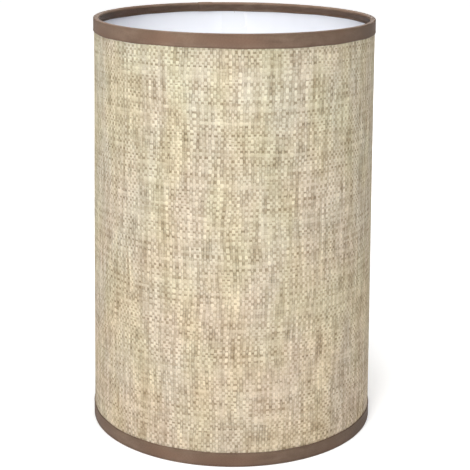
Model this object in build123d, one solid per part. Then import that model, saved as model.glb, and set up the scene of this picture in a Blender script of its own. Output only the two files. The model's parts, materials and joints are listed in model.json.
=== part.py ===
from build123d import *
from math import acos, atan2, cos, degrees, hypot, radians, sin
import os

# A hardback drum lamp shade. A woven cover is laminated onto a stiff white liner, each rim is
# stiffened by a wire ring bound in folded tape, and three wire arms carry a recessed fitter.
# Millimetres. The origin is the centre of the bottom rim, +Z points up out of the open top,
# and the seam of the cover is at the back, on the +Y side.

# The shade as a whole, over its trim
shade_radius = 100.0
shade_height = 300.0

# The wall, from the outside in, with a thin line of glue between one layer and the next
tape_thickness = 0.5
fabric_thickness = 0.45
liner_thickness = 0.4
glue_line = 0.05

# The tape folded over each rim: how far its two edges come from the rim
top_trim_outside = 9.5
bottom_trim_outside = 10.5
trim_inside = 7.0
trim_fold_corner = 0.4
trim_leaves_wire = 5.0

# The joints of the cover and of the liner, both at the back
seam_angle = 90.0
cover_lap_width = 12.0
seam_tape_width = 20.0
seam_tape_thickness = 0.1
seam_tape_end_gap = 8.0

# The wires
rim_wire_radius = 1.0
arm_wire_radius = 1.25
arm_angles = (90.0, 210.0, 330.0)
arm_weld_depth = 0.3
arm_end_gap = 0.35
arm_knee_radius = 88.0
arm_shoulder_radius = 38.0
arm_bend = 10.0
arm_head_drop = 2.3
arm_slit_clearance = 0.1

# The fitter: a pressed ring for a 42 mm lampholder, and the loose reducer that lies in it
holder_top = 25.0
holder_hole_radius = 21.0
holder_radius = 27.5
holder_sheet = 1.2
holder_lip = 4.0
reducer_bore_radius = 14.5
reducer_flange_radius = 24.5
reducer_flange_thickness = 1.6
reducer_boss_depth = 3.0
reducer_side_clearance = 0.3
reducer_rounding = 0.5

# Worked out from the sizes above
fabric_outer = shade_radius - tape_thickness - glue_line
fabric_inner = fabric_outer - fabric_thickness
liner_outer = fabric_inner - glue_line
liner_inner = liner_outer - liner_thickness
edge_inset = tape_thickness + glue_line
rim_wire_ring_radius = liner_inner - glue_line - rim_wire_radius
rim_wire_height = edge_inset + rim_wire_radius
arm_foot_height = rim_wire_height + rim_wire_radius + arm_wire_radius - arm_weld_depth
arm_head_height = holder_top - arm_head_drop


def tube(inner, outer, low, high):
    """A plain round wall between two radii and two heights."""
    ring = Circle(outer) - Circle(inner)
    return Pos(0, 0, low) * extrude(ring, amount=high - low)


def tube_strip(inner, outer, low, high, width):
    """A strip of round wall, as wide as width along the arc, centred on the seam."""
    spread = degrees(width / outer)
    middle = (inner + outer) / 2
    section = Plane.XZ * Pos(middle, (low + high) / 2) * Rectangle(outer - inner, high - low)
    strip = revolve(section, Axis.Z, revolution_arc=spread)
    return Rot(0, 0, seam_angle - spread / 2) * strip


def fabric_cover():
    """The woven cover: a full wrap, with its folded end lapped over its start between the trims."""
    wrap = tube(fabric_inner, fabric_outer, edge_inset, shade_height - edge_inset)
    low = bottom_trim_outside + glue_line
    high = shade_height - top_trim_outside - glue_line
    lap = tube_strip(fabric_inner, fabric_outer + fabric_thickness, low, high, cover_lap_width)
    return wrap + lap


def liner():
    """The stiff white sheet behind the cover, butted at the back."""
    return tube(liner_inner, liner_outer, edge_inset, shade_height - edge_inset)


def seam_tape():
    """The clear tape that joins the liner's two edges on the inside."""
    outer = liner_inner - glue_line
    low = seam_tape_end_gap
    return tube_strip(outer - seam_tape_thickness, outer, low, shade_height - low, seam_tape_width)


def rim_ring(height):
    """A wire ring that lies inside the liner along one rim."""
    return Pos(0, 0, height) * Torus(rim_wire_ring_radius, rim_wire_radius)


def trim_section(outside):
    """The folded tape cut across at the bottom rim, as a face in the XZ plane."""
    half = tape_thickness / 2
    outer_leg = shade_radius - half
    inner_leg = liner_inner - glue_line - half
    wrap_radius = rim_wire_radius + glue_line + half
    wire = Vector(rim_wire_ring_radius, rim_wire_height)
    corner = Vector(outer_leg - trim_fold_corner, half + trim_fold_corner)
    # The tape leaves the wire where a straight run to the liner just touches its wrap
    reach = hypot(inner_leg - wire.X, trim_leaves_wire - wire.Y)
    lean = degrees(atan2(trim_leaves_wire - wire.Y, inner_leg - wire.X))
    leaving = lean + degrees(acos(wrap_radius / reach))
    last = (wire.X + wrap_radius * cos(radians(leaving)), wire.Y + wrap_radius * sin(radians(leaving)))
    middle_line = Wire([
        Line((outer_leg, outside - half), (outer_leg, corner.Y)),
        CenterArc(corner, trim_fold_corner, 0, -90),
        Line((corner.X, half), (wire.X, half)),
        CenterArc(wire, wrap_radius, 270, leaving - 270),
        Line(last, (inner_leg, trim_leaves_wire)),
        Line((inner_leg, trim_leaves_wire), (inner_leg, trim_inside - half)),
    ])
    outline = offset(middle_line, amount=half)
    return Plane.XZ * make_face(outline)


def folded_trim(outside):
    """The tape bound round the bottom rim, before the arms are let through it."""
    return revolve(trim_section(outside), Axis.Z)


def arm_route():
    """The middle line of an arm in the XZ plane, from its foot on the rim ring to its head."""
    foot = liner_inner - arm_end_gap
    head = holder_radius - holder_sheet / 2
    points = [
        (foot, 0, arm_foot_height),
        (arm_knee_radius, 0, arm_foot_height),
        (arm_shoulder_radius, 0, arm_head_height),
        (head, 0, arm_head_height),
    ]
    return FilletPolyline(*points, radius=arm_bend)


def arm_wire():
    """A round wire along the arm's route, lying along +X."""
    route = arm_route()
    section = Plane(route @ 0, z_dir=route % 0) * Circle(arm_wire_radius)
    return sweep(section, path=route)


def fitter_arm(angle):
    """A wire arm, saddled onto the bottom ring at its foot and onto the holder at its head."""
    return Rot(0, 0, angle) * arm_wire() - rim_ring(rim_wire_height) - holder_ring()


def arm_slit(angle):
    """The hole in the bottom trim where an arm comes through."""
    foot = liner_inner - glue_line
    slit = Cylinder(arm_wire_radius + arm_slit_clearance, foot - arm_knee_radius)
    middle = (foot + arm_knee_radius) / 2
    return Rot(0, 0, angle) * Pos(middle, 0, arm_foot_height) * Rot(0, 90, 0) * slit


def bottom_trim():
    """The bottom rim's tape, with a hole for each arm."""
    trim = folded_trim(bottom_trim_outside)
    for angle in arm_angles:
        trim -= arm_slit(angle)
    return trim


def top_trim():
    """The top rim's tape, the bottom one turned over."""
    return Pos(0, 0, shade_height) * mirror(folded_trim(top_trim_outside), about=Plane.XY)


def outer_top_corner(section):
    """The corner of a flat section that is furthest out, and the upper one of the two there."""
    return section.vertices().sort_by(Axis.X)[-2:].sort_by(Axis.Y)[-1]


def holder_ring():
    """The pressed steel ring that stands on a lampholder's shoulder: a flat washer with a turned lip."""
    outline = Polyline(
        (holder_hole_radius, holder_top - holder_sheet),
        (holder_hole_radius, holder_top),
        (holder_radius, holder_top),
        (holder_radius, holder_top - holder_lip),
        (holder_radius - holder_sheet, holder_top - holder_lip),
        (holder_radius - holder_sheet, holder_top - holder_sheet),
        close=True,
    )
    section = make_face(outline)
    section = fillet(outer_top_corner(section), holder_sheet)
    return revolve(Plane.XZ * section, Axis.Z)


def reducer_ring():
    """The loose plastic ring that narrows the holder's hole for a small lampholder."""
    boss_radius = holder_hole_radius - reducer_side_clearance
    flange_top = holder_top + reducer_flange_thickness
    outline = Polyline(
        (reducer_bore_radius, holder_top - reducer_boss_depth),
        (reducer_bore_radius, flange_top),
        (reducer_flange_radius, flange_top),
        (reducer_flange_radius, holder_top),
        (boss_radius, holder_top),
        (boss_radius, holder_top - reducer_boss_depth),
        close=True,
    )
    section = make_face(outline)
    section = fillet(outer_top_corner(section), reducer_rounding)
    return revolve(Plane.XZ * section, Axis.Z)


pieces = {
    "fabric_cover": fabric_cover(),
    "liner": liner(),
    "seam_tape": seam_tape(),
    "top_ring": rim_ring(shade_height - rim_wire_height),
    "bottom_ring": rim_ring(rim_wire_height),
    "holder_ring": holder_ring(),
    "reducer_ring": reducer_ring(),
    "top_trim": top_trim(),
    "bottom_trim": bottom_trim(),
}
for number, angle in enumerate(arm_angles, start=1):
    pieces[f"fitter_arm_{number}"] = fitter_arm(angle)

os.makedirs("parts", exist_ok=True)
for name, piece in pieces.items():
    export_step(piece, f"parts/{name}.step")
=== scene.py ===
import json
import math

import bpy
import numpy as np
from mathutils import Matrix, Vector


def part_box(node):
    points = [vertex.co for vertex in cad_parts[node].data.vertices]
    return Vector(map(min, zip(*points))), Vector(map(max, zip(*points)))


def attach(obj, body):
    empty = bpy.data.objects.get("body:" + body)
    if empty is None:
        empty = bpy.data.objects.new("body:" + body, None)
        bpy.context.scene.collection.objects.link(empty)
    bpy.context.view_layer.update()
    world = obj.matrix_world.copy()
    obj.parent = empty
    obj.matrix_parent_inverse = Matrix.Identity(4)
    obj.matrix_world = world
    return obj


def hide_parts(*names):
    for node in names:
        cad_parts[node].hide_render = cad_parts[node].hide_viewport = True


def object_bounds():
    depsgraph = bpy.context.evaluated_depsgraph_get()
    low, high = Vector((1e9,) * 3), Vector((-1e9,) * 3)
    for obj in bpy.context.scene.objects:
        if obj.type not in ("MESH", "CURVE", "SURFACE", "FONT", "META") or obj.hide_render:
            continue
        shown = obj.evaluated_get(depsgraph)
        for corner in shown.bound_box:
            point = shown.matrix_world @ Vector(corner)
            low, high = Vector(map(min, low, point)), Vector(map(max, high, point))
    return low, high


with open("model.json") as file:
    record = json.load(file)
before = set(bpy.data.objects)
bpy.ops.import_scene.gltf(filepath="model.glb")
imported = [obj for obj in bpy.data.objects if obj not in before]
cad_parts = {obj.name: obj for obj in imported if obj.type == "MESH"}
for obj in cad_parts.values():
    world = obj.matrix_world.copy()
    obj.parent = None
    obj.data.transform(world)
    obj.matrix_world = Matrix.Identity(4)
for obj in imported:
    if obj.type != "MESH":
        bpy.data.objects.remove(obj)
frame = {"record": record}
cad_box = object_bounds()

# ---------------------------------------------------------------------------------------------
# Camera
# A long lens about a metre in front of the shade, somewhat above its rim and looking down at it.
# ---------------------------------------------------------------------------------------------
camera_distance = 0.900
camera_height = 0.4006
looking_down = 0.2834
turned_right = 0.0019
tilted = 0.0087
lens_length = 96.4

forward = Vector((
    math.sin(turned_right) * math.cos(looking_down),
    math.cos(turned_right) * math.cos(looking_down),
    -math.sin(looking_down),
))
level_right = forward.cross(Vector((0, 0, 1))).normalized()
level_up = level_right.cross(forward)
right = math.cos(tilted) * level_right + math.sin(tilted) * level_up
up = math.cos(tilted) * level_up - math.sin(tilted) * level_right

camera = bpy.data.objects.new("camera", bpy.data.cameras.new("camera"))
camera.data.lens = lens_length
camera.data.clip_start = 0.05
camera.matrix_world = Matrix((right, up, -forward)).transposed().to_4x4()
camera.location = (0, -camera_distance, camera_height)
bpy.context.scene.collection.objects.link(camera)
bpy.context.scene.camera = camera

# ---------------------------------------------------------------------------------------------
# Floor and lights
# White paper with three soft square lights: the key light at the front left, one overhead that
# fills the inside, and a weaker one behind. The studio round it gives only a faint warm glow.
# ---------------------------------------------------------------------------------------------


class Signal:
    """A shader socket that Python's operators work on, each adding a Math node.

    add() puts in any other node: its type, its sockets' values or links, and its settings."""

    def __init__(self, tree, socket=None):
        self.tree = tree
        self.socket = socket

    def add(self, kind, sockets, output=0, **settings):
        node = self.tree.nodes.new(kind)
        for name, value in settings.items():
            setattr(node, name, value)
        for name, value in sockets.items():
            if isinstance(value, Signal):
                self.tree.links.new(value.socket, node.inputs[name])
            else:
                node.inputs[name].default_value = value
        return Signal(self.tree, node.outputs[output])

    def math(self, operation, *terms):
        return self.add("ShaderNodeMath", dict(enumerate(terms)), operation=operation)

    def __add__(self, other):
        return self.math("ADD", self, other)

    def __sub__(self, other):
        return self.math("SUBTRACT", self, other)

    def __rsub__(self, other):
        return self.math("SUBTRACT", other, self)

    def __mul__(self, other):
        return self.math("MULTIPLY", self, other)

    def __truediv__(self, other):
        return self.math("DIVIDE", self, other)

    def __pow__(self, other):
        return self.math("POWER", self, other)

    def __mod__(self, other):
        return self.math("FLOORED_MODULO", self, other)

    def __gt__(self, other):
        return self.math("GREATER_THAN", self, other)

    __radd__ = __add__
    __rmul__ = __mul__

    def floor(self):
        return self.math("FLOOR", self)

    def cosine(self):
        return self.math("COSINE", self)

    def higher(self, other):
        return self.math("MAXIMUM", self, other)

    def step(self, low, high, start=0.0, end=1.0):
        """Goes smoothly from start to end while this goes from low to high."""
        sockets = {"Value": self, "From Min": low, "From Max": high, "To Min": start, "To Max": end}
        return self.add("ShaderNodeMapRange", sockets, interpolation_type="SMOOTHSTEP")

    def chance(self, other=0.0):
        """A random number from 0 to 1 for each pair of whole values."""
        pair = self.add("ShaderNodeCombineXYZ", {"X": self, "Y": other})
        return self.add("ShaderNodeTexWhiteNoise", {"Vector": pair}, noise_dimensions="2D")

    def noise(self, x, y, z, detail=0.0, roughness=0.5):
        """Smooth noise from 0 to 1 at a point, one lump to each unit."""
        point = self.add("ShaderNodeCombineXYZ", {"X": x, "Y": y, "Z": z})
        sockets = {"Vector": point, "Scale": 1.0, "Detail": detail, "Roughness": roughness}
        return self.add("ShaderNodeTexNoise", sockets)

    def mix(self, first, second):
        """The first colour where this is 0 and the second where it is 1."""
        return self.add("ShaderNodeMix", {0: self, 6: first, 7: second}, output=2, data_type="RGBA")

    def times(self, factor):
        """This colour or vector, brighter or darker by a factor."""
        return self.add("ShaderNodeVectorMath", {0: self, "Scale": factor}, operation="SCALE")

    def tinted(self, other):
        """This colour times another, channel by channel."""
        return self.add("ShaderNodeVectorMath", {0: self, 1: other}, operation="MULTIPLY")


def tone(red, green, blue):
    """A colour given as the eye sees it, 0 to 255, as the linear colour that a shader takes."""
    seen = np.array((red, green, blue)) / 255
    linear = np.where(seen <= 0.04045, seen / 12.92, ((seen + 0.055) / 1.055) ** 2.4)
    return (*linear.tolist(), 1.0)


def new_finish(name):
    """A new material with its Principled shader, and a Signal to start its nodes from."""
    material = bpy.data.materials.new(name)
    material.use_nodes = True
    shader = material.node_tree.nodes["Principled BSDF"]
    return material, shader, Signal(material.node_tree)


def feed(shader, name, signal):
    """Links a signal to one of the shader's sockets."""
    signal.tree.links.new(signal.socket, shader.inputs[name])


def bumpy(shader, height, distance):
    """Feeds a height from 0 to 1, which stands for distance in metres, to the shader's normal."""
    sockets = {"Height": height, "Distance": distance, "Strength": 1.0}
    feed(shader, "Normal", height.add("ShaderNodeBump", sockets))


def place_on(start, kind):
    """The three coordinates of a point on the piece: Object is in metres, UV runs along the cloth."""
    point = start.add("ShaderNodeTexCoord", {}, output=kind)
    split = start.tree.nodes.new("ShaderNodeSeparateXYZ")
    start.tree.links.new(point.socket, split.inputs[0])
    return [Signal(start.tree, out) for out in split.outputs]


glow_begins = 0.2
glow_full = 1.5
near_glow = tone(105, 105, 105)
far_glow = tone(246, 246, 246)


def floor_finish():
    """White paper, faintly uneven. Away from the shade it glows to stay white to its edges."""
    material, shader, start = new_finish("white_sweep")
    x, y = place_on(start, "Object")[:2]
    uneven = start.noise(x * 3, y * 3, 0.0, detail=2.0)
    feed(shader, "Base Color", uneven.mix(tone(250, 250, 250), tone(246, 246, 246)))
    away = (x**2 + y**2) ** 0.5
    feed(shader, "Emission Color", away.step(glow_begins, glow_full).mix(near_glow, far_glow))
    shader.inputs["Emission Strength"].default_value = 1.0
    shader.inputs["Roughness"].default_value = 0.9
    return material


floor_half = 8.0
floor_mesh = bpy.data.meshes.new("floor")
floor_turns = ((-1, -1), (1, -1), (1, 1), (-1, 1))
floor_corners = [(x * floor_half, y * floor_half, cad_box[0].z) for x, y in floor_turns]
floor_mesh.from_pydata(floor_corners, [], [(0, 1, 2, 3)])
floor_mesh.materials.append(floor_finish())
floor = bpy.data.objects.new("floor", floor_mesh)
bpy.context.scene.collection.objects.link(floor)


def soft_light(name, place, size, watts, colour):
    """A square soft light, aimed at the middle of the shade."""
    lamp = bpy.data.lights.new(name, "AREA")
    lamp.size = size
    lamp.energy = watts
    lamp.color = colour
    light = bpy.data.objects.new(name, lamp)
    light.location = place
    aim = (cad_box[0] + cad_box[1]) / 2 - Vector(place)
    light.rotation_euler = aim.to_track_quat("-Z", "Y").to_euler()
    bpy.context.scene.collection.objects.link(light)


light_size = 0.8
white_light = (1.0, 1.0, 1.0)
soft_light("key_light", (-0.5, -1.7, 1.15), light_size, watts=22, colour=(1.0, 0.99, 0.98))
soft_light("top_light", (0.0, -0.22, 1.5), light_size, watts=25, colour=white_light)
soft_light("back_light", (0.0, 1.8, 1.0), light_size, watts=9, colour=white_light)

studio = bpy.data.worlds.new("studio")
studio.use_nodes = True
studio_walls = studio.node_tree.nodes["Background"]
studio_walls.inputs["Color"].default_value = (1.0, 0.98, 0.94, 1.0)
studio_walls.inputs["Strength"].default_value = 0.05
bpy.context.scene.world = studio
bpy.context.scene.view_settings.view_transform = "Standard"

# ---------------------------------------------------------------------------------------------
# Woven cover
# One sheet of coarse hessian, cream warp and tan weft, laminated onto the liner. It goes once
# round the shade and its end is lapped over its start at the back.
# ---------------------------------------------------------------------------------------------
low_rim, high_rim = cad_box[0].z, cad_box[1].z
shade_height = high_rim - low_rim
cover_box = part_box("fabric_cover")
liner_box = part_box("liner")
cover_radius = cover_box[1].x
liner_radius = liner_box[1].x
glue_line = 0.00005
cover_thickness = cover_radius - liner_radius - glue_line
seam_angle = math.pi / 2
cover_lap = 0.012
cover_length = 2 * math.pi * cover_radius + cover_lap
lap_ramp = 0.004
loose_edge = 0.0002
loose_run = 0.002
foot_opening = 0.0035
side_opening = 0.0022
top_tuck = 0.0003
ripple_height = 0.00008
warp_pitch = 0.0019
weft_pitch = 0.00215
wide_wander = 0.004
near_wander = 0.0015
first_thread = 0.2
warp_slub_length, weft_slub_length = 0.018, 0.014
fibre_width, fibre_length, fibre_slant = 0.00018, 0.0016, 0.0009
weave_depth = 0.0004
# How far from the cover's lapped end its darkening begins and is full, and how ragged that edge is.
frayed_and_shaded_from, frayed_and_shaded_to, fray_ragged = 0.0012, 0.0004, 0.0004
cream_warp, shaded_warp = tone(222, 213, 189), tone(170, 154, 128)
cream_weft, shaded_weft = tone(216, 205, 181), tone(148, 132, 107)
cool_cast, warm_cast = (0.96, 1.0, 1.02, 1.0), (1.035, 0.98, 0.98, 1.0)
pale_cast, yellow_cast = (1.0, 1.0, 1.035, 1.0), (1.0, 1.0, 0.94, 1.0)


def splay(angle, height):
    """How far the hand-rolled wall stands out from a true cylinder, in metres.

    It opens in a straight line from the top to the bottom, more at the sides than at the front
    and back, and has a slight ripple, three waves round and one and a half up."""
    down = 1 - (height - low_rim) / shade_height
    opening = (foot_opening + side_opening * np.cos(angle) ** 2) * down - top_tuck
    ripple = ripple_height * np.sin(3 * angle + 9 * height / shade_height)
    return opening + ripple


def set_mesh(name, points, quads, uv=None, sharp=math.radians(40)):
    """A piece from points and quads. Quads are turned round if the closed mesh is inside out."""
    corner = points[quads]
    spans = np.cross(corner[:, 2] - corner[:, 0], corner[:, 3] - corner[:, 1])
    if (spans * corner.mean(1)).sum() < 0:
        quads = quads[:, ::-1]
    mesh = bpy.data.meshes.new(name)
    mesh.from_pydata(points, [], quads)
    mesh.shade_smooth()
    mesh.set_sharp_from_angle(angle=sharp)
    if uv is not None:
        layer = mesh.uv_layers.new(name="cloth")
        layer.data.foreach_set("uv", uv[quads.ravel()].ravel().astype(np.float32))
    piece = bpy.data.objects.new(name, mesh)
    bpy.context.scene.collection.objects.link(piece)
    return piece


def carried(name, rings, joined, uv=None, sharp=math.radians(40)):
    """A closed section carried along a path: rings[i, j] is point j of the section at step i.

    Neighbouring points make quads. A path that isn't joined to itself is closed at both ends by
    quads between points j and last - j of the section, like a zip."""
    steps, around = rings.shape[:2]
    number = np.arange(steps * around).reshape(steps, around)
    ahead = np.roll(number, -1, axis=0) if joined else number[1:]
    behind = number if joined else number[:-1]
    quads = np.stack([behind, ahead, np.roll(ahead, -1, 1), np.roll(behind, -1, 1)], -1).reshape(-1, 4)
    if not joined:
        half = np.arange(around // 2 - 1)
        zip_quads = np.stack([half, half + 1, around - 2 - half, around - 1 - half], -1)
        quads = np.concatenate([quads, number[0][zip_quads], number[-1][zip_quads[:, ::-1]]])
    points = rings.reshape(-1, 3)
    return set_mesh(name, points, quads, None if uv is None else uv.reshape(-1, 2), sharp)


def dressed(piece, body, slot, finish, *nodes):
    """Gives a piece its material and its body, and hides the CAD nodes that it stands for. The slot is
    not used.
    """
    piece.data.materials.append(finish)
    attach(piece, body)
    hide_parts(*nodes)
    return piece


def wrapped_sheet(name, radius, thickness, low, high, start, length, lap=0.0, step=0.002, rows=40):
    """A sheet rolled into a tube: radius is the outside of its wall, length its way round.

    The path starts at the angle start. Over its last stretch, lap long, it lies a thickness
    further out, and its very end curls out by loose_edge. The section is a thin upright loop:
    up the outside and down the inside."""
    along = np.linspace(0, length, int(length / step))[:, None]
    angle = start + along / radius
    ramp = np.clip((along - (length - lap - lap_ramp)) / lap_ramp, 0, 1)
    lift = (thickness + glue_line) * ramp * ramp * (3 - 2 * ramp)
    curl = loose_edge * np.clip(1 - (length - along) / loose_run, 0, 1) ** 2
    lift = (lift + curl) * (lap > 0)
    rise = np.linspace(low, high, rows)
    height = np.concatenate([rise, rise[::-1]])[None, :]
    inward = np.concatenate([np.zeros(rows), np.full(rows, thickness)])[None, :]
    distance = radius + lift - inward + splay(angle, height)
    rings = np.stack([
        distance * np.cos(angle),
        distance * np.sin(angle),
        np.broadcast_to(height, distance.shape),
    ], -1)
    uv = np.stack(np.broadcast_arrays(along, height - low), -1)
    return carried(name, rings, False, uv)


def plain_weave(along, rise, warp, weft, warp_thick, weft_thick):
    """Plain weave: each thread goes over one and under the next. Returns height and masks.

    Threads are counted along and up. A thread's height is its round section plus a bend that
    is highest where it crosses over and lowest where it crosses under; the higher thread shows,
    so a thick thread shows nearly all along and a thin one only where it crosses over."""
    warp_place = along / warp
    weft_place = rise / weft
    warp_number = warp_place.floor()
    weft_number = weft_place.floor()
    beside_warp = warp_place - warp_number - 0.5
    beside_weft = weft_place - weft_number - 0.5
    over = 1 - 2 * ((warp_number + weft_number) % 2)
    warp_round = (1 - (2 * beside_warp / warp_thick) ** 2).higher(0) ** 0.5
    weft_round = (1 - (2 * beside_weft / weft_thick) ** 2).higher(0) ** 0.5
    warp_bend = 0.6 + 0.3 * over * (math.pi * beside_weft).cosine()
    weft_bend = 0.6 - 0.3 * over * (math.pi * beside_warp).cosine()
    warp_height = warp_round * warp_bend * warp_thick
    weft_height = weft_round * weft_bend * weft_thick
    height = warp_height.higher(weft_height)
    return height, warp_height > weft_height, warp_number, weft_number


def lumps(u, v, wide, tall, seed, detail=0.0, roughness=0.5):
    """Smooth noise from 0 to 1 on a cloth, in lumps so wide and so tall, in metres."""
    return u.noise(u / wide, v / tall, seed, detail, roughness)


def hessian_finish():
    """Hessian: uneven jute threads with slubs, cream one way and tan the other, matt and hairy.

    Each thread wanders, thickens and darkens along its length. Darker streaks run mostly up the
    cloth, and its cast drifts slowly from grey to warm and from pale to yellow."""
    material, shader, start = new_finish("hessian")
    u, v = place_on(start, "UV")[:2]
    wide_u = lumps(u, v, wide=0.03, tall=0.05, seed=0.0) - 0.5
    wide_v = lumps(u, v, wide=0.05, tall=0.03, seed=5.0) - 0.5
    near_u = lumps(u, v, wide=0.0045, tall=0.012, seed=2.0) - 0.5
    near_v = lumps(u, v, wide=0.012, tall=0.0045, seed=7.0) - 0.5
    along = u + wide_wander * wide_u + near_wander * near_u + first_thread
    rise = v + wide_wander * wide_v + near_wander * near_v + first_thread
    thread_u = (along / warp_pitch).floor()
    thread_v = (rise / weft_pitch).floor()
    warp_slub = u.noise(thread_u * 3.7, v / warp_slub_length, 9.0, detail=1.0)
    weft_slub = u.noise(u / weft_slub_length, thread_v * 3.3, 14.0, detail=1.0)
    warp_thick = warp_slub.step(0.3, 0.7, 0.75, 1.4)
    weft_thick = weft_slub.step(0.3, 0.7, 0.6, 1.25)
    height, warp_shows, warp_number, weft_number = plain_weave(
        along, rise, warp_pitch, weft_pitch, warp_thick, weft_thick
    )
    crossing = warp_number.chance(weft_number)
    warp_fibre = u.noise(u / fibre_width + v / fibre_slant, v / fibre_length, 3.0, detail=1.0)
    weft_fibre = u.noise(u / fibre_length, v / fibre_width + u / fibre_slant, 6.0, detail=1.0)
    fibre = warp_fibre * warp_shows + weft_fibre * (1 - warp_shows)
    patch = lumps(u, v, wide=0.006, tall=0.009, seed=11.0, detail=2.0, roughness=0.6)
    up_streak = lumps(u, v, wide=0.0028, tall=0.035, seed=17.0)
    cross_streak = lumps(u, v, wide=0.03, tall=0.0032, seed=21.0)
    streak = up_streak - 0.6 * cross_streak
    shared = 0.3 * crossing + 0.5 * patch - 0.8 * streak
    warp_dark = shared + 0.3 * warp_number.chance() - 0.9 * warp_slub + 0.5
    weft_dark = shared + 0.3 * weft_number.chance(3.0) - 0.7 * weft_slub + 0.55
    warp_tone = warp_dark.mix(cream_warp, shaded_warp)
    weft_tone = weft_dark.mix(cream_weft, shaded_weft)
    threads = warp_shows.mix(weft_tone, warp_tone)
    warmer = lumps(u, v, wide=0.03, tall=0.045, seed=27.0, detail=2.0).step(0.35, 0.65)
    warmer = v.step(0.0, shade_height, 0.65, 0.0) + 0.5 * warmer
    yellower = lumps(u, v, wide=0.022, tall=0.07, seed=33.0, detail=2.0).step(0.35, 0.65)
    cast = warmer.mix(cool_cast, warm_cast).tinted(yellower.mix(pale_cast, yellow_cast))
    threads = threads.tinted(cast)
    # Painted shade: the low parts of the weave, between and under the threads, are darker.
    painted_hollow_shade = height.step(0.1, 0.7, 0.67, 1.0)
    hairs = fibre.step(0.25, 0.75, 0.86, 1.1)
    # The last millimetre of the cover's lapped end is darker: partly its frayed cut edge, partly
    # painted shade along the lap.
    to_end = u + fray_ragged * fibre - cover_length
    frayed_and_shaded_end = to_end.step(-frayed_and_shaded_from, -frayed_and_shaded_to, 1.0, 0.72)
    feed(shader, "Base Color", threads.times(painted_hollow_shade * hairs * frayed_and_shaded_end))
    feed(shader, "Roughness", fibre.step(0.2, 0.8, 0.82, 0.95))
    shader.inputs["Sheen Weight"].default_value = 0.03
    shader.inputs["Sheen Roughness"].default_value = 0.6
    shader.inputs["Sheen Tint"].default_value = tone(240, 215, 170)
    shader.inputs["Specular IOR Level"].default_value = 0.08
    bumpy(shader, height + 0.25 * fibre, weave_depth)
    return material


cover = wrapped_sheet(
    "woven_cover",
    cover_radius,
    cover_thickness,
    cover_box[0].z,
    cover_box[1].z,
    start=seam_angle - cover_lap / 2 / cover_radius,
    length=cover_length,
    lap=cover_lap,
)
dressed(cover, "shade", "hessian", hessian_finish(), "fabric_cover")

# ---------------------------------------------------------------------------------------------
# Liner
# A stiff white styrene sheet, 0.4 mm thick, that the cover is laminated onto. Its two edges butt
# at the back under a strip of clear tape.
# ---------------------------------------------------------------------------------------------
liner_thickness = 0.0004


def liner_finish():
    """White styrene: smooth, a soft sheen, faint rub marks and a slightly uneven tone."""
    material, shader, start = new_finish("styrene")
    x, y, z = place_on(start, "Object")
    cloudy = start.noise(x * 25, y * 25, z * 12, detail=3.0)
    feed(shader, "Base Color", cloudy.step(0.3, 0.7).mix(tone(246, 248, 253), tone(240, 242, 248)))
    rubbed = start.noise(x * 60, y * 60, z * 400, detail=2.0)
    feed(shader, "Roughness", rubbed.step(0.3, 0.75, 0.38, 0.55))
    bumpy(shader, start.noise(x * 900, y * 900, z * 900, detail=1.0), 0.00002)
    return material


butt_gap = 0.0003
liner = wrapped_sheet(
    "liner_sheet",
    liner_radius,
    liner_thickness,
    liner_box[0].z,
    liner_box[1].z,
    start=seam_angle + butt_gap / 2 / liner_radius,
    length=2 * math.pi * liner_radius - butt_gap,
    rows=24,
)
dressed(liner, "shade", "liner_sheet", liner_finish(), "liner")

# ---------------------------------------------------------------------------------------------
# Seam tape
# A strip of clear film with glue on one side, pressed over the liner's butted edges inside.
# ---------------------------------------------------------------------------------------------


def film_finish():
    """Clear film on white: glossy, a touch creamier than the sheet, with faint trapped air."""
    material, shader, start = new_finish("clear_film")
    x, y, z = place_on(start, "Object")
    air = start.noise(x * 140, y * 140, z * 90, detail=3.0, roughness=0.6).step(0.55, 0.7)
    feed(shader, "Base Color", air.mix(tone(246, 248, 252), tone(249, 250, 253)))
    feed(shader, "Roughness", air.step(0, 1, 0.22, 0.4))
    shader.inputs["Coat Weight"].default_value = 0.1
    bumpy(shader, start.noise(x * 60, y * 60, z * 25, detail=1.0), 0.00005)
    return material


film_low, film_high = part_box("seam_tape")
film_thickness = 0.0001
film_radius = liner_radius - liner_thickness - glue_line
film_width = film_high.x - film_low.x
film = wrapped_sheet(
    "seam_film",
    film_radius,
    film_thickness,
    film_low.z,
    film_high.z,
    start=seam_angle - film_width / 2 / film_radius,
    length=film_width,
    step=0.001,
)
dressed(film, "shade", "clear_tape", film_finish(), "seam_tape")

# ---------------------------------------------------------------------------------------------
# Rim wires
# A ring of round steel wire, coated white, lies just inside the liner along each rim, where the
# folded trim holds it.
# ---------------------------------------------------------------------------------------------
ring_steps = 240
ring_sides = 14


def wire_finish():
    """White epoxy on steel wire: satin, with the fine dimples of a baked coating."""
    material, shader, start = new_finish("coated_wire")
    x, y, z = place_on(start, "Object")
    dimples = start.noise(x * 1500, y * 1500, z * 1500, detail=1.0)
    worn = start.noise(x * 180, y * 180, z * 180, detail=4.0, roughness=0.65)
    coat = worn.step(0.45, 0.75).mix(tone(237, 237, 233), tone(229, 228, 222))
    chipped = worn.step(0.72, 0.76)
    feed(shader, "Base Color", chipped.mix(coat, tone(120, 112, 104)))
    feed(shader, "Roughness", worn.step(0.3, 0.8, 0.3, 0.5))
    feed(shader, "Metallic", chipped * 0.8)
    bumpy(shader, dimples, 0.00003)
    return material


coated_wire = wire_finish()


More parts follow.
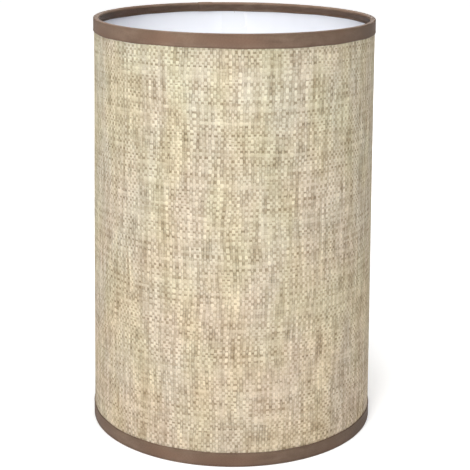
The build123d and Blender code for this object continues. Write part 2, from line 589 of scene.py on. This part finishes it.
def rim_wire(name, node):
    """A wire ring: a round section carried once round, following the wall."""
    low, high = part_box(node)
    wire_radius = (high.z - low.z) / 2
    middle = (low.z + high.z) / 2
    angle = np.linspace(0, 2 * math.pi, ring_steps, endpoint=False)[:, None]
    turn = np.linspace(0, 2 * math.pi, ring_sides, endpoint=False)[None, :]
    height = middle + wire_radius * np.sin(turn) + 0 * angle
    distance = high.x - wire_radius + wire_radius * np.cos(turn) + splay(angle, middle)
    rings = np.stack([distance * np.cos(angle), distance * np.sin(angle), height], -1)
    return dressed(carried(name, rings, True), "shade", "coated_wire", coated_wire, node)


rim_wire("top_rim_wire", "top_ring")
rim_wire("bottom_rim_wire", "bottom_ring")

# ---------------------------------------------------------------------------------------------
# Trim
# Taupe-brown faux suede tape, its edges turned under, folded over each rim and glued down inside
# and out. It wraps the rim wire, and its ends lap at the back.
# ---------------------------------------------------------------------------------------------
tape_thickness = 0.0005
trim_inside = 0.007
trim_leaves_wire = 0.005
fold_corner = 0.0004
tape_lap = 0.009
tape_start = 0.02
tape_ramp = 0.003
lap_lift = 0.0004
cover_lap_lift = 0.0004
cover_lap_reach = 0.008
section_spacing = 0.0004
hem_bulge, hem_place, hem_width = 0.00012, 0.0008, 0.0006
edge_share = 0.02
trim_steps = 481
tape_pitch, tape_row = 0.00038, 0.00034
tape_wander = 0.0001
suede_depth = 0.00009
dark_taupe, light_taupe, red_taupe = tone(109, 90, 76), tone(125, 105, 90), tone(115, 92, 77)
# Where along the tape the painted highlight is palest, the length of its wave and how strong it is.
painted_highlight_place, painted_light_period, painted_light_change = 0.25, 0.34, 0.15
# Where the painted shade over the fold and the hem edge begins and ends, and how dark it is.
fold_begins, fold_deep, fold_lifts, fold_ends = 0.0075, 0.0093, 0.0105, 0.012
hem_edge, hem_inside = 0.0003, 0.0018
painted_hem_shade, painted_fold_shade = 0.86, 0.13
slow_waver, quick_waver = 0.02, 0.012


def bent_line(corners, radii, spacing):
    """Points along straight runs through the corners, each inner corner rounded to its radius.

    An arc's centre is radius over the cosine of half its turn from the corner, inwards."""
    corners = np.asarray(corners, float)
    runs = np.diff(corners, axis=0)
    runs /= np.linalg.norm(runs, axis=1)[:, None]
    parts = [corners[:1]]
    for corner, before, after, radius in zip(corners[1:-1], runs[:-1], runs[1:], radii):
        turn = math.acos(np.clip(before @ after, -1, 1))
        inward = (after - before) / np.linalg.norm(after - before)
        centre = corner + inward * radius / math.cos(turn / 2)
        swing = np.linspace(-turn / 2, turn / 2, max(4, int(radius * turn / spacing) + 1))[:, None]
        along = (before + after) / np.linalg.norm(before + after)
        parts.append(centre + radius * (np.sin(swing) * along - np.cos(swing) * inward))
    parts.append(corners[-1:])
    line = np.concatenate(parts)
    gaps = np.linalg.norm(np.diff(line, axis=0), axis=1)
    filled = [
        np.linspace(a, b, max(2, int(gap / spacing) + 2))[:-1]
        for a, b, gap in zip(line[:-1], line[1:], gaps)
        if gap > 1e-7
    ]
    return np.concatenate([*filled, line[-1:]])


def tape_section(outside, wire_radius, wire_outer):
    """The folded tape's section as a loop of (distance from the axis, height above the rim).

    Its middle line goes down the outside, over the rim, round the wire and back to the liner.
    The loop is that line moved half a thickness to one side, then back along the other side,
    thinned to a round at both edges and thicker by a bell-shaped bulge over each hem. Also
    returns the way travelled along the tape and the direction out of the fold, by point."""
    half = tape_thickness / 2
    wire_distance = wire_outer - wire_radius
    wire_rise = half * 2 + glue_line + wire_radius
    wrap = wire_radius + glue_line + half
    outer_leg = cad_box[1].x - half
    inner_leg = wire_outer - half
    fold = wire_distance - wrap
    reach = math.hypot(inner_leg - wire_distance, trim_leaves_wire - wire_rise)
    lean = math.atan2(trim_leaves_wire - wire_rise, inner_leg - wire_distance)
    leaving = lean + math.acos(wrap / reach)
    last = (wire_distance + wrap * math.cos(leaving), wire_rise + wrap * math.sin(leaving))
    slope = (trim_leaves_wire - last[1]) / (inner_leg - last[0])
    fold_end = last[1] + slope * (fold - last[0])
    middle = bent_line(
        [
            (outer_leg, outside),
            (outer_leg, half),
            (fold, half),
            (fold, fold_end),
            (inner_leg, trim_leaves_wire),
            (inner_leg, trim_inside),
        ],
        [fold_corner, wrap * 0.999, wrap * 0.999, 0.001],
        section_spacing,
    )
    run = np.gradient(middle, axis=0)
    run /= np.linalg.norm(run, axis=1)[:, None]
    side = np.stack([-run[:, 1], run[:, 0]], -1)
    travelled = np.concatenate([[0], np.cumsum(np.linalg.norm(np.diff(middle, axis=0), axis=1))])
    from_edge = np.minimum(travelled, travelled[-1] - travelled)
    rounding = np.sqrt(np.clip(1 - (1 - np.clip(from_edge / half, 0, 1)) ** 2, edge_share, 1))
    hem = hem_bulge * np.exp(-(((from_edge - hem_place) / hem_width) ** 2))
    thick = half * rounding
    outer = middle + side * (thick + hem)[:, None]
    inner = middle - side * thick[:, None]
    loop = np.concatenate([outer, inner[::-1]])
    return loop, np.concatenate([travelled, travelled[::-1]]), np.concatenate([side, side[::-1]])


def bound_trim(name, section, travelled, out_of_fold, upside_down, seed):
    """Folded tape carried round one rim: the section is the same all round but for its edges.

    Distance from the axis follows the wall's splay and the lap of the cover. Height wavers by
    a few percent in five and seventeen waves round. The tape's last few millimetres lie over
    its start, raised by most of its thickness."""
    radius = cad_box[1].x
    along = np.linspace(0, 2 * math.pi * radius + tape_lap, trim_steps)[:, None]
    angle = seam_angle + tape_start / radius + along / radius
    over = np.clip((along - (along[-1] - tape_lap - tape_ramp)) / tape_ramp, 0, 1)
    lift = lap_lift * over * over * (3 - 2 * over)
    from_lap = np.angle(np.exp(1j * (angle - seam_angle))) * radius
    cover_lap_bump = cover_lap_lift * np.exp(-((from_lap / cover_lap_reach) ** 4))
    over_lap = cover_lap_bump * np.clip(out_of_fold[:, 0], 0, 1)
    waver = slow_waver * np.sin(5 * angle + seed) + quick_waver * np.sin(17 * angle + 2 * seed)
    rise = section[:, 1] * (1 + waver) + lift / 2 * out_of_fold[:, 1]
    height = high_rim - rise if upside_down else low_rim + rise
    distance = section[:, 0] + splay(angle, height) + lift * out_of_fold[:, 0] + over_lap
    rings = np.stack([distance * np.cos(angle), distance * np.sin(angle), height], -1)
    uv = np.stack(np.broadcast_arrays(along, travelled[None, :]), -1)
    return carried(name, rings, False, uv, math.radians(60))


def tape_finish():
    """Taupe faux suede: a fine tight backing weave, mottled dye and a nap in random patches, with a
    painted highlight and painted shade along the tape, and painted shade over the hem and the fold."""
    material, shader, start = new_finish("suede_tape")
    u, v = place_on(start, "UV")[:2]
    wander = lumps(u, v, wide=0.004, tall=0.004, seed=0.0) - 0.5
    along = u + tape_wander * wander
    rise = v + tape_wander * wander + 0.01
    height, _, warp_number, weft_number = plain_weave(along, rise, tape_pitch, tape_row, 0.95, 0.95)
    dye = lumps(u, v, wide=0.009, tall=0.005, seed=2.0, detail=3.0, roughness=0.6)
    patch = lumps(u, v, wide=0.05, tall=0.012, seed=7.0, detail=1.0)
    cloth = dye.step(0.25, 0.75).mix(dark_taupe, light_taupe)
    cloth = patch.step(0.4, 0.7).mix(cloth, red_taupe)
    thread = (warp_number + weft_number * 7).chance().step(0, 1, 0.92, 1.06)
    # Painted shade: the low parts of the tape's weave are darker.
    painted_weave_shade = height.step(0.1, 0.8, 0.72, 1.0)
    nap = lumps(u, v, wide=0.03, tall=0.03, seed=12.0, detail=1.0).step(0.3, 0.7, 0.93, 1.07)
    # Painted highlight and painted shade: the tape is made paler and darker in one slow wave along its
    # length.
    painted_highlight_and_shade = 1 + painted_light_change * ((u - painted_highlight_place) * (2 * math.pi / painted_light_period)).cosine()
    # Painted shade: darker along the turned-under hem edge and along the fold over the rim.
    at_fold = v.step(fold_begins, fold_deep) * v.step(fold_lifts, fold_ends, 1.0, 0.0)
    painted_edge_and_fold_shade = v.step(hem_edge, hem_inside, painted_hem_shade, 1.0) * (1 - painted_fold_shade * at_fold)
    feed(shader, "Base Color", cloth.times(thread * painted_weave_shade * nap * painted_highlight_and_shade * painted_edge_and_fold_shade))
    feed(shader, "Roughness", dye.step(0.2, 0.8, 0.5, 0.65))
    shader.inputs["Specular IOR Level"].default_value = 0.1
    bumpy(shader, height + 0.4 * dye, suede_depth)
    return material


suede_tape = tape_finish()
trims = [
    ("top_rim_tape", "top_trim", "top_ring", True, 1.3),
    ("bottom_rim_tape", "bottom_trim", "bottom_ring", False, 4.1),
]
for name, node, ring_node, upside_down, seed in trims:
    trim_low, trim_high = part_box(node)
    wire_low, wire_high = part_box(ring_node)
    wire_radius = (wire_high.z - wire_low.z) / 2
    section, travelled, out_of_fold = tape_section(trim_high.z - trim_low.z, wire_radius, wire_high.x)
    tape = bound_trim(name, section, travelled, out_of_fold, upside_down, seed)
    dressed(tape, "shade", "trim_tape", suede_tape, node)

# ---------------------------------------------------------------------------------------------
# Fitter
# Three coated wire arms stand on the bottom rim wire and carry a pressed steel ring, held by
# small welds. A loose moulded ring lies in it and narrows its hole for a small lampholder.
# ---------------------------------------------------------------------------------------------
arm_knee = 0.088
arm_shoulder = 0.038
arm_bend = 0.010
arm_sides = 20
bend_spacing = 0.0006
foot_inset = 0.0006
arm_wire_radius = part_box("fitter_arm_1")[1].x  # this arm runs along y, so its box is a wire wide
foot_weld, head_weld = 0.0022, 0.0024
weld_swell = 0.32
sheet_steel = 0.0012
holder_low, holder_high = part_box("holder_ring")


def arm_wire(name, node):
    """A wire arm: a round section carried along the bent route from rim to holder.

    At both ends the wire swells into its weld: a lumpy collar that dies out along the arm."""
    low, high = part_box(node)
    centre = (low + high) / 2
    angle = math.atan2(centre.y, centre.x)
    outer = max(math.hypot(x, y) for x in (low.x, high.x) for y in (low.y, high.y))
    wire = arm_wire_radius
    foot = (outer - foot_inset, low.z + wire)
    head = (holder_high.x - sheet_steel / 2, high.z - wire)
    corners = [foot, (arm_knee, foot[1]), (arm_shoulder, head[1]), head]
    route = bent_line(corners, [arm_bend, arm_bend], bend_spacing)
    run = np.gradient(route, axis=0)
    run /= np.linalg.norm(run, axis=1)[:, None]
    gone = np.concatenate([[0], np.cumsum(np.linalg.norm(np.diff(route, axis=0), axis=1))])
    turn = np.linspace(0, 2 * math.pi, arm_sides, endpoint=False)[None, :]
    collar = np.exp(-((gone / foot_weld) ** 2)) + np.exp(-(((gone[-1] - gone) / head_weld) ** 2))
    uneven = 1 + 0.18 * np.sin(3 * turn + 1.3) + 0.1 * np.sin(7 * turn)
    radius = wire * (1 + weld_swell * collar[:, None] * uneven)
    share = (route[:, :1] - head[0]) / (foot[0] - head[0])
    distance = route[:, :1] - radius * np.cos(turn) * run[:, 1:] + share * splay(angle, foot[1])
    height = route[:, 1:] + radius * np.cos(turn) * run[:, :1]
    aside = radius * np.sin(turn)
    rings = np.stack([
        distance * math.cos(angle) - aside * math.sin(angle),
        distance * math.sin(angle) + aside * math.cos(angle),
        height,
    ], -1)
    return dressed(carried(name, rings, False), "shade", "coated_wire", coated_wire, node)


for number in (1, 2, 3):
    arm_wire(f"arm_wire_{number}", f"fitter_arm_{number}")


def turned(name, outline, steps=180):
    """A closed outline of (distance, height) carried once round the axis."""
    angle = np.linspace(0, 2 * math.pi, steps, endpoint=False)[:, None]
    distance = outline[:, 0][None, :] + 0 * angle
    height = outline[:, 1][None, :] + 0 * angle
    rings = np.stack([distance * np.cos(angle), distance * np.sin(angle), height], -1)
    return carried(name, rings, True, sharp=math.radians(50))


def holder_outline():
    """Pressed sheet cut across: a flat washer whose edge is turned down in a round bend."""
    hole = 0.021
    top, inner = holder_high.z, holder_high.x - sheet_steel
    middle = (hole + inner) / 2
    edge, bend = 0.00025, 0.0013
    corners = [
        (middle, top),
        (holder_high.x, top),
        (holder_high.x, holder_low.z),
        (inner, holder_low.z),
        (inner, top - sheet_steel),
        (hole, top - sheet_steel),
        (hole, top),
        (middle, top),
    ]
    return bent_line(corners, [bend, edge, edge, edge, edge, edge], bend_spacing)[:-1]


holder = turned("lampholder_ring", holder_outline())
dressed(holder, "shade", "coated_wire", coated_wire, "holder_ring")


def plastic_finish():
    """White moulded plastic: satin, with faint flow lines and a slightly creamy cast."""
    material, shader, start = new_finish("moulded_plastic")
    x, y, z = place_on(start, "Object")
    flow = start.noise(x * 70, y * 220, z * 100, detail=3.0)
    feed(shader, "Base Color", flow.step(0.3, 0.7).mix(tone(238, 237, 230), tone(230, 229, 221)))
    feed(shader, "Roughness", flow.step(0.3, 0.7, 0.34, 0.48))
    bumpy(shader, start.noise(x * 2500, y * 2500, z * 2500), 0.00001)
    return material


def reducer_outline():
    """The reducer cut across: a boss, a flange with a raised bead at its edge, and a bore
    whose top mouth is chamfered."""
    low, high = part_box("reducer_ring")
    bore = frame["record"]["mounts"][0]["dims"]["r_mm"] / 1000
    boss = 0.0207
    bead, bead_crest, bead_foot = 0.0003, 0.0014, 0.0018
    flat = high.z - bead
    edge, chamfer = 0.0003, 0.0006
    corners = [
        (bore, (low.z + high.z) / 2),
        (bore, low.z),
        (boss, low.z),
        (boss, holder_high.z),
        (high.x, holder_high.z),
        (high.x, high.z),
        (high.x - bead_crest, high.z),
        (high.x - bead_foot, flat),
        (bore + chamfer, flat),
        (bore, flat - chamfer),
        (bore, (low.z + high.z) / 2),
    ]
    rounding = [edge, edge * 2, 0.0001, edge, edge, 0.0003, 0.0003, 0.0001, 0.0001]
    return bent_line(corners, rounding, bend_spacing)[:-1]


reducer = turned("loose_reducer", reducer_outline())
dressed(reducer, "reducer", "moulded_plastic", plastic_finish(), "reducer_ring")
